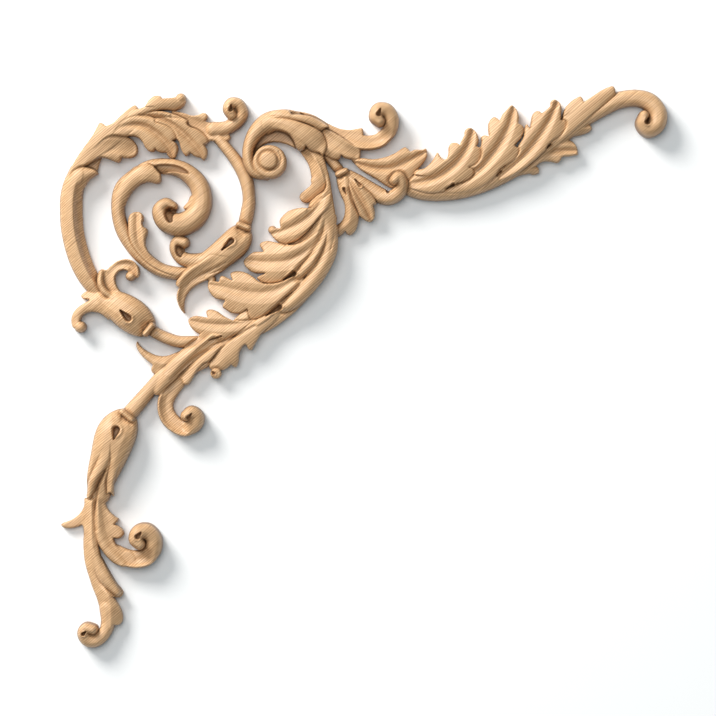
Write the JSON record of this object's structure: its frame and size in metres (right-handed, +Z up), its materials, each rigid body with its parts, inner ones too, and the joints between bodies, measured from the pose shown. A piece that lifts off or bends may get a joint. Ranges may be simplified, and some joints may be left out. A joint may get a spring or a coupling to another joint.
{
  "type": "corner applique",
  "caption": "Carved wooden corner applique: an acanthus scroll with a leafy arm along the top and another down the side, pierced between the stems and flat on the back.",
  "frame": {"origin": "on the flat back, behind the middle of the great leaf", "axes": "-Y out of the wall towards the viewer, +X along the upper arm to its far volute, +Z up, opposite to the lower arm"},
  "size_m": [0.3637, 0.022, 0.3363],
  "materials": {
    "oak": "bare oak, sanded, unstained, with open grain running diagonally"
  },
  "bodies": {
    "root": {"corner_applique": "oak"}
  },
  "joints": []
}
